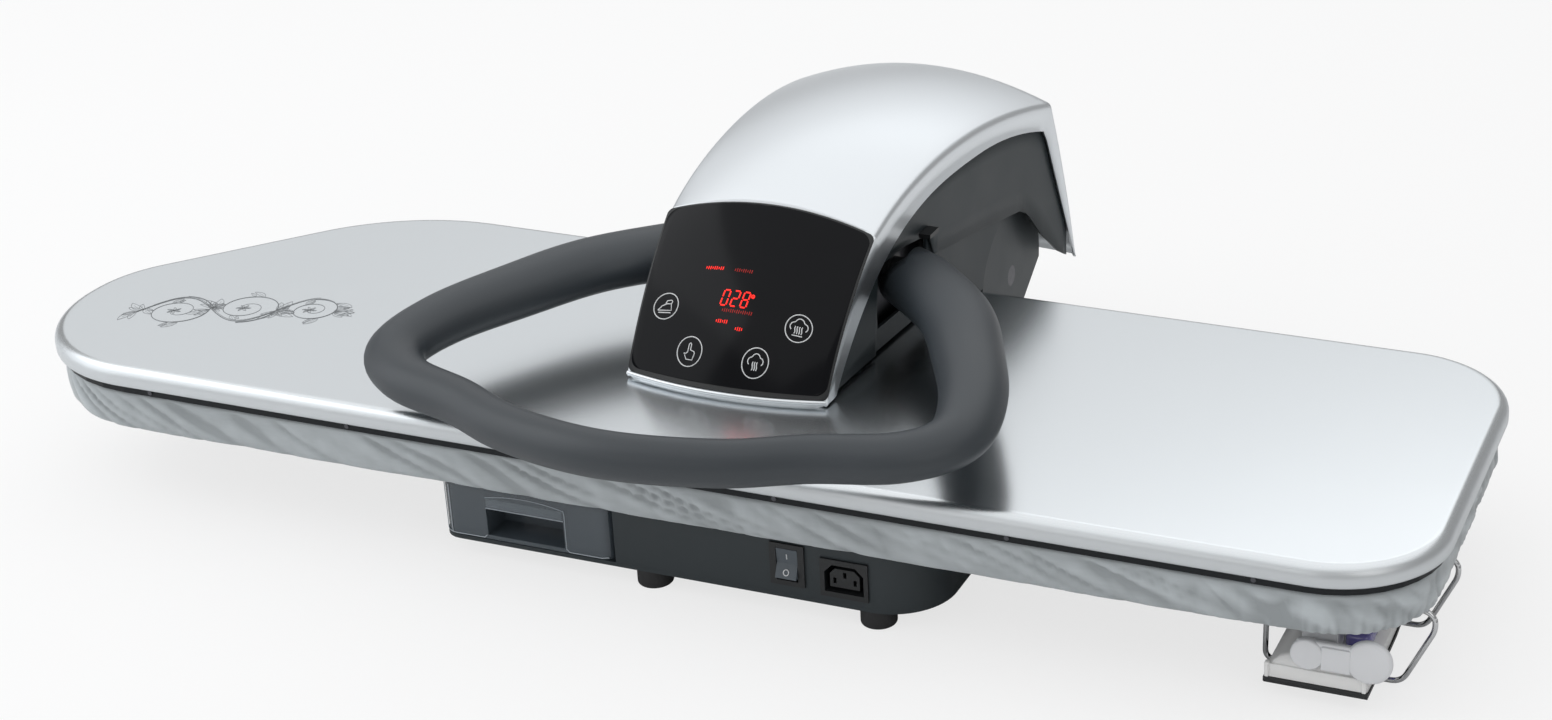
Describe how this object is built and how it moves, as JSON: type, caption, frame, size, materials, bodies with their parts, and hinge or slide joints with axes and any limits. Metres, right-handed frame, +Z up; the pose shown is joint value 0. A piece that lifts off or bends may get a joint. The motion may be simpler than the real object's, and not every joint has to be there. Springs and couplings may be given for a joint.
{
  "type": "steam ironing press",
  "caption": "Table-top steam press with a padded board, a tilting heated plate on an arched arm, a loop handle, a water tank drawer and a wire rack with a hand iron",
  "frame": {"origin": "on the table top, where the head's middle plane crosses the board's long middle line", "axes": "+X along the board to its square right end, +Y to the hinge at the back, +Z up"},
  "size_m": [1.01, 0.584, 0.2396],
  "materials": {
    "black_plastic": "fine-textured plastic",
    "board_green": "circuit board",
    "brass": "plain",
    "cloth": "pale blue-green satin cloth",
    "dark_plastic": "satin moulded plastic",
    "display": "dark red display",
    "felt": "felt pad",
    "foam": "soft charcoal foam",
    "grey_plastic": "moulded plastic",
    "heater": "dark coated aluminium",
    "panel_glass": "glossy black panel",
    "purple_clear": "tinted clear plastic",
    "rubber": "matt rubber",
    "silicone": "silicone hose",
    "silver_paint": "satin silver",
    "silver_plastic": "satin silver",
    "smoky_clear": "smoky clear plastic",
    "sole": "dark non-stick coating",
    "spring_steel": "blackened spring steel",
    "steel": "zinc-plated steel",
    "white_plastic": "moulded plastic"
  },
  "bodies": {
    "base": {"base_tray": "dark_plastic", "base_housing": "dark_plastic", "feet": "rubber", "foot_screws": "steel", "board_posts": "steel", "post_screws": "steel", "board_pan": "steel", "board_pad": "felt", "board_cover": "cloth", "tank_seat": "white_plastic", "suction_hose": "silicone", "pump": "brass", "pump_bracket": "steel", "delivery_hose": "silicone", "power_board": "board_green", "board_standoffs": "white_plastic", "power_inlet": "black_plastic", "iron_outlet": "black_plastic", "switch_frame": "black_plastic", "switch_pin": "steel", "tower_cover": "dark_plastic", "hinge_bracket": "steel", "bracket_screws": "steel", "hinge_shaft": "steel", "lift_springs": "spring_steel", "iron_rack": "steel", "rack_rail": "steel", "rack_sleeves": "grey_plastic"},
    "head": {"arm_cover": "silver_plastic", "arm_side_left": "dark_plastic", "arm_side_right": "dark_plastic", "arm_undershell": "dark_plastic", "arm_frame": "steel", "hinge_bushes": "brass", "control_panel": "panel_glass", "panel_board": "board_green", "display_module": "display", "shoe_mount": "steel", "mount_screws": "steel", "shoe_cover": "silver_paint", "shoe_spacers": "steel", "heating_plate": "heater", "heating_element": "steel", "thermostat": "steel", "thermal_fuse": "white_plastic", "steam_manifold": "brass", "steam_hose": "silicone", "shoe_screws": "steel", "handle_pins": "steel", "handle_catches": "black_plastic"},
    "handle": {"handle_grip": "foam", "handle_hubs": "black_plastic"},
    "switch": {"rocker": "black_plastic"},
    "tank": {"tank_body": "smoky_clear", "tank_lid": "smoky_clear"},
    "iron": {"iron_sole": "sole", "iron_body": "white_plastic", "iron_lobes": "grey_plastic", "iron_grip": "grey_plastic", "iron_tank": "purple_clear"}
  },
  "joints": [
    {"name": "head_tilt", "type": "hinge", "parent": "base", "child": "head", "pos_m": [0, 0.262, 0.077], "axis": [-1, 0, 0], "range_deg": [0, 40]},
    {"name": "handle_lever", "type": "hinge", "parent": "head", "child": "handle", "pos_m": [0, 0.072, 0.154], "axis": [-1, 0, 0], "range_deg": [0, 12]},
    {"name": "power_rocker", "type": "hinge", "parent": "base", "child": "switch", "pos_m": [0.079, -0.135, 0.038], "axis": [1, 0, 0], "range_deg": [0, 18]},
    {"name": "tank_slide", "type": "slide", "parent": "base", "child": "tank", "axis": [0, -1, 0], "range_m": [0, 0.15]},
    {"name": "iron_slide", "type": "slide", "parent": "base", "child": "iron", "axis": [0, -1, 0], "range_m": [0, 0.22]}
  ]
}
